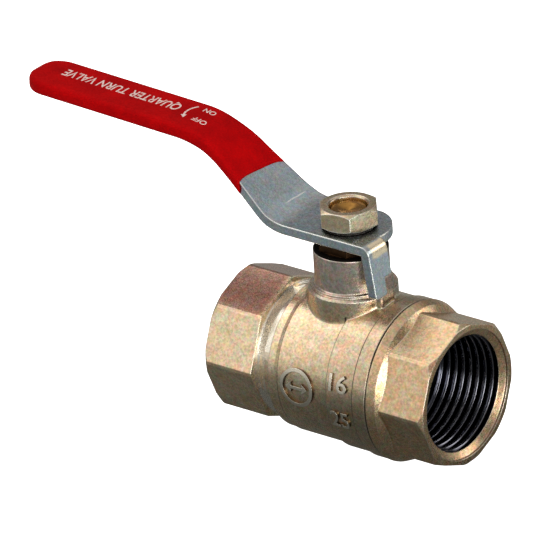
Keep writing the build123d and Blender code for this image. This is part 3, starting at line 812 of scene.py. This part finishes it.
def section_frame(sleeve, strip, x, tip_x, mouth_x):
    """The sleeve's centre, half height and half width at x, then the strip's half width and height."""
    strip_half_width = strip_half_height = None
    if strip.top_z(x) is not None:
        strip_y, strip_half_width = middle_and_half(strip, x)
        strip_half_height = (strip.top_z(x) - strip.bottom_z(x)) / 2 * squeeze_at(strip, x)
    if x > SKIN_FULL_X:
        share = (x - SKIN_FULL_X) / (mouth_x - SKIN_FULL_X)
        skin = SKIN_FULL + (SKIN_AT_MOUTH - SKIN_FULL) * share * share * (3 - 2 * share)
        middle = (strip.top_z(x) + strip.bottom_z(x)) / 2
        return (Vector((x, strip_y, middle)), strip_half_height + skin, strip_half_width + skin,
                strip_half_width, strip_half_height)
    middle = (sleeve.top_z(x) + sleeve.bottom_z(x)) / 2
    half_height = (sleeve.top_z(x) - sleeve.bottom_z(x)) / 2 * squeeze_at(sleeve, x)
    if x - tip_x < TIP_ROUND:
        share = (x - tip_x) / TIP_ROUND
        half_height *= TIP_FLATNESS + (1 - TIP_FLATNESS) * sqrt(1 - (1 - share) ** 2)
    middle_y, half_width = sleeve.width_at(x, middle)
    return Vector((x, middle_y, middle)), half_height, half_width, strip_half_width, strip_half_height


def squeeze_at(surface, x):
    """How much thinner the strip is square to its slope than straight up and down."""
    ahead, behind = surface.top_z(x + SLOPE_STEP), surface.top_z(x - SLOPE_STEP)
    slope = (ahead - behind) / (2 * SLOPE_STEP) if ahead and behind else 0.0
    return 1 / sqrt(1 + slope * slope)


def tube_mesh(name, outer, inner):
    """A closed skin: outer loops from tip to mouth, a flat lip, and inner loops back to the tip."""
    points, faces = [], []
    rings = outer + list(reversed(inner))
    count = len(rings[0])
    for ring in rings:
        points.extend(ring)
    for r in range(len(rings) - 1):
        for i in range(count):
            j = (i + 1) % count
            faces.append((r * count + i, r * count + j, (r + 1) * count + j, (r + 1) * count + i))
    faces.append(tuple(range(count)))
    last = (len(rings) - 1) * count
    faces.append(tuple(last + i for i in reversed(range(count))))
    return mesh_object(name, points, faces)


# ---------------------------------------------------------------- lettering and marks
def letters(name, text, width, height, depth):
    """A closed flat mesh of the text, centred, of the given width, letter height and depth."""
    curve = bpy.data.curves.new(name, "FONT")
    curve.body = text
    curve.size = 1.0
    curve.extrude = 0.5
    curve.offset = LETTER_BOLD
    curve.resolution_u = LETTER_CURVE_STEPS
    helper = new_object(name + "_curve", curve)
    bpy.context.view_layer.update()
    mesh = bpy.data.meshes.new_from_object(helper.evaluated_get(bpy.context.evaluated_depsgraph_get()))
    bpy.data.objects.remove(helper)
    bm = bmesh.new()
    bm.from_mesh(mesh)
    bmesh.ops.remove_doubles(bm, verts=bm.verts, dist=LETTER_WELD)
    bmesh.ops.subdivide_edges(bm, edges=[e for e in bm.edges if is_long_and_level(e)], cuts=LETTER_CUTS)
    bmesh.ops.triangulate(bm, faces=bm.faces)
    xs = [v.co.x for v in bm.verts]
    ys = [v.co.y for v in bm.verts]
    middle_x, middle_y = (min(xs) + max(xs)) / 2, (min(ys) + max(ys)) / 2
    wide = width / (max(xs) - min(xs))
    tall = height / (max(ys) - min(ys))
    for v in bm.verts:
        v.co = Vector(((v.co.x - middle_x) * wide, (v.co.y - middle_y) * tall, (v.co.z + 0.5) * depth))
    return bm


def is_long_and_level(edge):
    """True for a letter's long outline edges, which need more points to follow a curved surface."""
    ends = [v.co.z for v in edge.verts]
    return edge.calc_length() > LETTER_LONG_EDGE and abs(ends[0] - ends[1]) < LETTER_LEVEL


def bar(bm, start, end, width, depth):
    """A flat bar from start to end, as part of a mark."""
    along = (Vector(end) - Vector(start)).normalized()
    side = Vector((-along.y, along.x)) * width / 2
    corners = [Vector(start) + side, Vector(start) - side, Vector(end) - side, Vector(end) + side]
    prism(bm, corners, depth)


def prism(bm, corners, depth):
    """A flat plate with these corners, from height 0 to depth."""
    low = [bm.verts.new((c[0], c[1], 0.0)) for c in corners]
    high = [bm.verts.new((c[0], c[1], depth)) for c in corners]
    bm.faces.new(list(reversed(low)))
    bm.faces.new(high)
    for i in range(len(corners)):
        j = (i + 1) % len(corners)
        bm.faces.new((low[i], low[j], high[j], high[i]))


def arc_band(bm, radius, width, start, end, depth, steps):
    """A curved band of constant width between two angles; a full turn closes on itself."""
    closed = abs(end - start) >= 2 * pi - 1e-6
    count = steps if closed else steps + 1
    rings = []
    for i in range(count):
        angle = start + (end - start) * i / steps
        ring = []
        for r, h in ((radius - width / 2, 0.0), (radius + width / 2, 0.0),
                     (radius + width / 2, depth), (radius - width / 2, depth)):
            ring.append(bm.verts.new((r * cos(angle), r * sin(angle), h)))
        rings.append(ring)
    for i in range(steps):
        here, there = rings[i], rings[(i + 1) % count]
        for k in range(4):
            m = (k + 1) % 4
            bm.faces.new((here[k], here[m], there[m], there[k]))
    if not closed:
        bm.faces.new(list(reversed(rings[0])))
        bm.faces.new(rings[-1])


def finish_mark(name, bm, place, body, material):
    """Bend a flat mark onto its surface, close up its normals and let it ride with its body."""
    for v in bm.verts:
        v.co = place(v.co.x, v.co.y, v.co.z)
    bmesh.ops.recalc_face_normals(bm, faces=bm.faces)
    mesh = bpy.data.meshes.new(name)
    bm.to_mesh(mesh)
    bm.free()
    mesh.polygons.foreach_set("use_smooth", [False] * len(mesh.polygons))
    made = new_object(name, mesh)
    paint(made, material)
    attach(made, body)


def onto_grip(surface, centre_x, centre_y):
    """Lay a mark on the grip's top; it reads from the +Y side, from the stem towards the tip."""
    def place(u, v, h):
        x, y = centre_x - u, centre_y - v
        return Vector((x, y, surface.top_z(x, y) - PRINT_SINK + h))
    return place


def onto_barrel(surface, centre_x, angle):
    """Wrap a mark on the barrel, its middle at this angle from the top towards the near side."""
    turn = radians(angle)
    start = Vector((centre_x, -BARREL_OUTSIDE_R * sin(turn), BARREL_OUTSIDE_R * cos(turn)))
    radius = surface.hit(start, (0, sin(turn), -cos(turn))).yz.length

    def place(u, v, h):
        here = turn - v / radius
        r = radius - MARK_SINK + h
        return Vector((centre_x + u, -r * sin(here), r * cos(here)))
    return place


def add_grip_print(grip):
    """The words and the turning arrow on the sleeve's top."""
    ink = print_ink()
    surface = Surface(grip.data)
    for name, text, centre_x, centre_y, width, height in GRIP_WORDS:
        bm = letters(name, text, width, height, PRINT_HEIGHT)
        finish_mark(name, bm, onto_grip(surface, centre_x, centre_y), "handle", ink)
    bm = bmesh.new()
    start, end = (radians(angle) for angle in ARC_ANGLES)
    arc_band(bm, ARC_RADIUS, ARC_WIDTH, start, end, PRINT_HEIGHT, ARC_STEPS)
    outward = Vector((cos(end), sin(end)))
    ahead = Vector((-outward.y, outward.x))
    base = outward * ARC_RADIUS - ahead * ARROW_OVERLAP
    side = outward * ARROW_HALF_WIDTH
    prism(bm, [base + side, base + ahead * ARROW_LENGTH, base - side], PRINT_HEIGHT)
    finish_mark("grip_arrow", bm, onto_grip(surface, *ARC_CENTRE), "handle", ink)


def add_cast_marks():
    """The ring with a two-way flow arrow and the two numbers on the barrel's near side."""
    material = raised_mark()
    surface = Surface(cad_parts["body"].data)
    depth = MARK_SINK + MARK_RELIEF
    bm = bmesh.new()
    arc_band(bm, RING_MARK_R, RING_MARK_WIDTH, 0.0, 2 * pi, depth, RING_MARK_STEPS)
    bar(bm, (-FLOW_BAR_HALF, 0), (FLOW_BAR_HALF, 0), FLOW_BAR_WIDTH, depth)
    for way in (-1, 1):
        foot_x, tip_x = (way * x for x in FLOW_HEAD_X)
        side = way * FLOW_HEAD_HALF
        prism(bm, [Vector((foot_x, -side)), Vector((tip_x, 0)), Vector((foot_x, side))], depth)
    finish_mark("flow_mark", bm, onto_barrel(surface, *RING_MARK_PLACE), "valve_body", material)
    for name, text, centre_x, angle, width, height in BARREL_NUMBERS:
        bm = letters(name, text, width, height, depth)
        finish_mark(name, bm, onto_barrel(surface, centre_x, angle), "valve_body", material)


# ---------------------------------------------------------------- camera, light and floor
def make_camera():
    """The camera looks at its target from its azimuth and elevation, rolled a little."""
    b = direction(CAMERA_AZIMUTH, CAMERA_ELEVATION)
    level = Vector((cos(radians(CAMERA_AZIMUTH)), sin(radians(CAMERA_AZIMUTH)), 0))
    roll = radians(CAMERA_ROLL)
    upright = b.cross(level)
    right = level * cos(roll) + upright * sin(roll)
    up = upright * cos(roll) - level * sin(roll)
    camera = bpy.data.cameras.new("camera")
    camera.sensor_width = SENSOR_WIDTH
    camera.lens = LENS
    camera.clip_end = CAMERA_CLIP_END
    made = new_object("camera", camera)
    place = CAMERA_TARGET + b * CAMERA_DISTANCE
    made.matrix_world = Matrix((
        (right.x, up.x, b.x, place.x), (right.y, up.y, b.y, place.y),
        (right.z, up.z, b.z, place.z), (0, 0, 0, 1)))
    bpy.context.scene.camera = made


def make_world():
    """White behind the object; the metal mirrors a dim room with soft lights in it."""
    world = bpy.data.worlds.new("studio")
    world.use_nodes = True
    world.node_tree.nodes.clear()
    g = Graph(world.node_tree)
    way = g.add("TexCoord").outputs["Generated"]
    x, _, z = g.split(way)
    walls = g.times(g.remap(x, *WALL_X, *WALL_GLOW), g.fall(z, *WALL_FADE_Z))
    room = g.math("ADD", walls, g.remap(z, *CEILING_Z, *CEILING_GLOW))
    for centre, inner, outer, strength in SOFT_LIGHTS:
        facing = g.dot(way, centre.normalized())
        light = g.remap(facing, cos(radians(outer)), cos(radians(inner)), 0.0, strength,
                        interpolation_type="SMOOTHSTEP")
        room = g.math("ADD", room, light)
    mirrored = g.add("Background")
    g.put(mirrored, "Color", ROOM_COLOUR)
    g.put(mirrored, "Strength", room)
    seen = g.add("Background")
    g.put(seen, "Color", (1.0, 1.0, 1.0))
    g.to_camera(seen, mirrored, "OutputWorld")
    bpy.context.scene.world = world


def make_floor():
    """A pale sheet just under the object, far wider than the picture."""
    height = cad_box[0].z - FLOOR_GAP
    across = (-FLOOR_SIZE, FLOOR_SIZE)
    corners = [(across[i], across[j], height) for i, j in ((0, 0), (1, 0), (1, 1), (0, 1))]
    floor = mesh_object("floor", corners, [(0, 1, 2, 3)], smooth=False)
    paint(floor, paper_floor())


# ---------------------------------------------------------------- put it together
def paint_cad_nodes():
    """Give every CAD node that is shown its own material."""
    looks = {
        "body": plated_forging("body_forging", BODY_NICKEL, BODY_DRIFT),
        "end_cap": plated_forging("cap_forging", CAP_NICKEL, CAP_DRIFT),
        "lever": plated_steel("lever_zinc", LEVER_ZINC, ZINC_ROUGHNESS, LEVER_EDGE, is_lever=True),
        "lever_nut": plated_steel("nut_zinc", NUT_ZINC, ZINC_ROUGHNESS, NUT_EDGE),
        # the washer is painted near black as the shadow under the nut
        "lock_washer": plated_steel("washer_shadow_dark", WASHER_SHADOW_DARK, WASHER_ROUGHNESS, WASHER_EDGE),
        "stem": turned_metal("turned_brass", STEM_BRASS, roughness=0.22),
        # the gland nut is painted dark as shade under the lever
        "gland_nut": turned_metal("gland_shade_brass", GLAND_SHADE_BRASS, roughness=0.4),
        "ball": turned_metal("ball_chrome", BALL_CHROME, roughness=0.08),
    }
    ptfe = soft_plastic("seat_ptfe", SEAT_PTFE, roughness=0.45, pebble=0.1, shine=0.5)
    rubber = soft_plastic("seal_rubber", SEAL_RUBBER, roughness=0.55, pebble=0.3, shine=0.5)
    looks.update(dict.fromkeys(PTFE_NODES, ptfe))
    looks.update(dict.fromkeys(RUBBER_NODES, rubber))
    for node, material in looks.items():
        paint(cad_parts[node], material)


def add_grip():
    """The modelled sleeve stands in for the CAD grip and rides with the handle."""
    grip = make_grip()
    paint(grip, soft_plastic("red_vinyl", RED_VINYL, roughness=0.55, pebble=0.3, shine=0.03))
    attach(grip, "handle")
    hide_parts("lever_grip")
    return grip


bpy.context.scene.view_settings.view_transform = "Standard"
paint_cad_nodes()
add_grip_print(add_grip())
add_cast_marks()
make_floor()
make_world()
make_camera()
